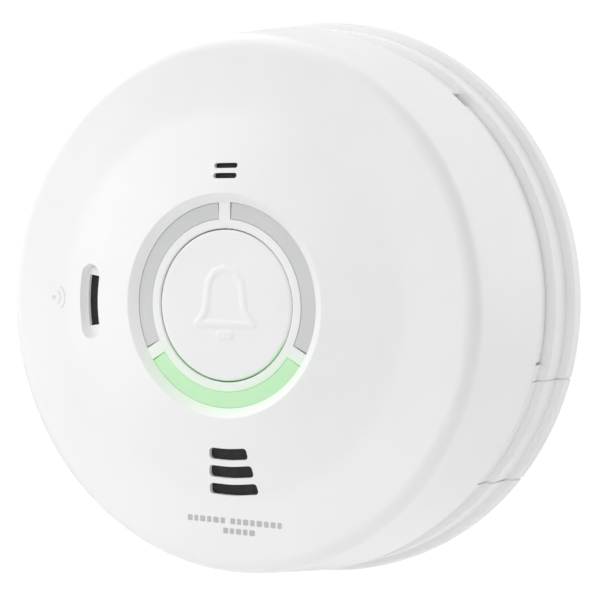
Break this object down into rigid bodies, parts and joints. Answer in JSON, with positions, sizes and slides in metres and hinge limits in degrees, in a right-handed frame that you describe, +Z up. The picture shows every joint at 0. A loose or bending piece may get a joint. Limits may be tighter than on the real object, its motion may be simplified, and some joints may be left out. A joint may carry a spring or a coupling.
{
  "type": "carbon monoxide alarm",
  "caption": "Round wall-mounted gas alarm: a head with a domed front, light ring, centre test button and vents that slides onto a stepped wall base.",
  "frame": {"origin": "centre of the wall face of the mounting base", "axes": "+Y into the wall (the front faces -Y), +Z up, +X to the right as seen from the front, the way the head slides off"},
  "size_m": [0.1404, 0.0494, 0.1404],
  "materials": {
    "white_shell": "fine satin moulded white",
    "white_button": "satin white",
    "white_base": "satin moulded white",
    "frosted_guide": "frosted translucent grey-white",
    "lit_guide": "frosted translucent, lit green from behind",
    "dark_gauze": "fine black mesh",
    "black_plastic": "matte black",
    "black_rubber": "matte rubber",
    "pcb_green": "solder mask",
    "led_lens": "clear lens",
    "steel": "plated steel",
    "brass": "bright brass",
    "yellow_film": "film capacitor case",
    "blue_sleeve": "shrunk sleeve",
    "ceramic": "matte ceramic",
    "grey_terminal": "matte light grey"
  },
  "bodies": {
    "base": {"mounting_base": "white_base", "cable_grommet": "black_rubber", "terminal_block": "grey_terminal", "terminal_clamps": "brass", "terminal_screws": "steel", "terminal_cover": "white_base"},
    "head": {"front_cover": "white_shell", "light_guide_left": "frosted_guide", "light_guide_bottom": "lit_guide", "light_guide_right": "frosted_guide", "upper_vent_gauze": "dark_gauze", "lower_vent_gauze": "dark_gauze", "sounder_gauze": "dark_gauze", "sounder_horn": "black_plastic", "piezo_disc": "brass", "co_sensor": "steel", "sensor_gasket": "black_rubber", "main_pcb": "pcb_green", "pcb_screws": "steel", "status_leds": "led_lens", "test_switch": "black_plastic", "microcontroller": "black_plastic", "switching_transformer": "black_plastic", "mains_filter_capacitor": "yellow_film", "smoothing_capacitors": "blue_sleeve", "power_inductor": "black_plastic", "fuse_resistor": "ceramic", "backup_cells": "steel", "cell_tabs": "steel", "contact_prongs": "brass", "rear_housing": "white_shell", "housing_screws": "steel"},
    "button": {"test_button": "white_button", "switch_plunger": "white_button", "return_spring": "steel"}
  },
  "joints": [
    {"name": "head_slide", "type": "slide", "parent": "base", "child": "head", "axis": [1, 0, 0], "range_m": [0, 0.145]},
    {"name": "button_press", "type": "slide", "parent": "head", "child": "button", "axis": [0, 1, 0], "range_m": [0, 0.001], "stiffness_N_per_m": 400, "springref_m": -0.003, "deforming": ["return_spring"]}
  ]
}
